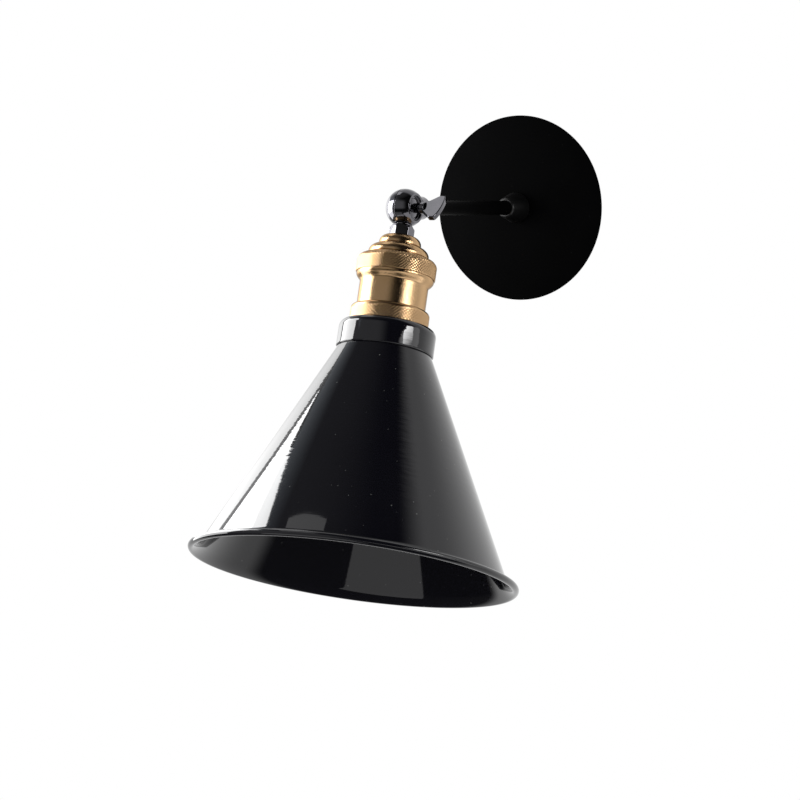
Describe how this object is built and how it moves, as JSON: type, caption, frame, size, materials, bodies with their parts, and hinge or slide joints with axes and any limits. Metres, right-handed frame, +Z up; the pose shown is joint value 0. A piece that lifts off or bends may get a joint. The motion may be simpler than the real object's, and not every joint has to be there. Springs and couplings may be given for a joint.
{
  "type": "wall lamp",
  "caption": "Wall lamp with a round canopy, a straight arm, a ball knuckle locked by a wing screw, a brass lampholder and a cone shade that tilts from down to up.",
  "frame": {"origin": "middle of the canopy's back, in the plane of the wall, midway between the wall bracket's slots", "axes": "-Y out of the wall along the arm, +Z up, +X to the right along the knuckle's hinge axis; the wall is the plane y = 0"},
  "size_m": [0.1802, 0.2753, 0.2734],
  "materials": {
    "canopy_black": "matte",
    "arm_black": "satin",
    "black_nickel": "polished",
    "holder_brass": "satin",
    "shade_black": "gloss",
    "zinc_steel": "satin",
    "plain_brass": "satin",
    "nickel_shell": "satin",
    "porcelain": "gloss",
    "fibre": "matte",
    "black_glass": "gloss",
    "opal_glass": "satin",
    "lead_sleeve": "satin"
  },
  "bodies": {
    "wall_arm": {"canopy": "canopy_black", "wall_bracket": "zinc_steel", "earth_screw": "plain_brass", "bracket_nipple": "zinc_steel", "bracket_nut": "zinc_steel", "arm_boss": "arm_black", "arm_tube": "arm_black", "knuckle_arm_half": "black_nickel", "friction_disc": "fibre", "arm_leads": "lead_sleeve", "knuckle_leads": "lead_sleeve"},
    "lamp_head": {"knuckle_lamp_half": "black_nickel", "neck_nipple": "zinc_steel", "cap_nut": "zinc_steel", "holder_cap": "holder_brass", "holder_barrel": "holder_brass", "insulator_core": "porcelain", "terminal_screws": "plain_brass", "screw_shell": "nickel_shell", "centre_contact": "plain_brass", "shade_ring": "holder_brass", "shade_lock_ring": "holder_brass", "shade_collar": "shade_black", "shade_cone": "shade_black", "bulb_base": "black_glass", "bulb_cap": "nickel_shell", "bulb_glass": "opal_glass", "head_leads": "lead_sleeve"},
    "washer": {"clamp_washer": "black_nickel"},
    "wing": {"wing_screw": "black_nickel"}
  },
  "joints": [
    {"name": "knuckle_tilt", "type": "hinge", "parent": "wall_arm", "child": "lamp_head", "pos_m": [0, -0.13165, 0], "axis": [-1, 0, 0], "range_deg": [-16.4, 163.6], "deforming": ["knuckle_leads"]},
    {"name": "wing_advance", "type": "slide", "parent": "wall_arm", "child": "washer", "axis": [1, 0, 0], "range_m": [0, 0.001]},
    {"name": "wing_turn", "type": "hinge", "parent": "washer", "child": "wing", "pos_m": [0, -0.13165, 0], "axis": [1, 0, 0], "range_deg": [0, 451]}
  ],
  "couplings": [
    {"joint": "wing_turn", "follows": "wing_advance", "rad_per_m": 7854}
  ]
}
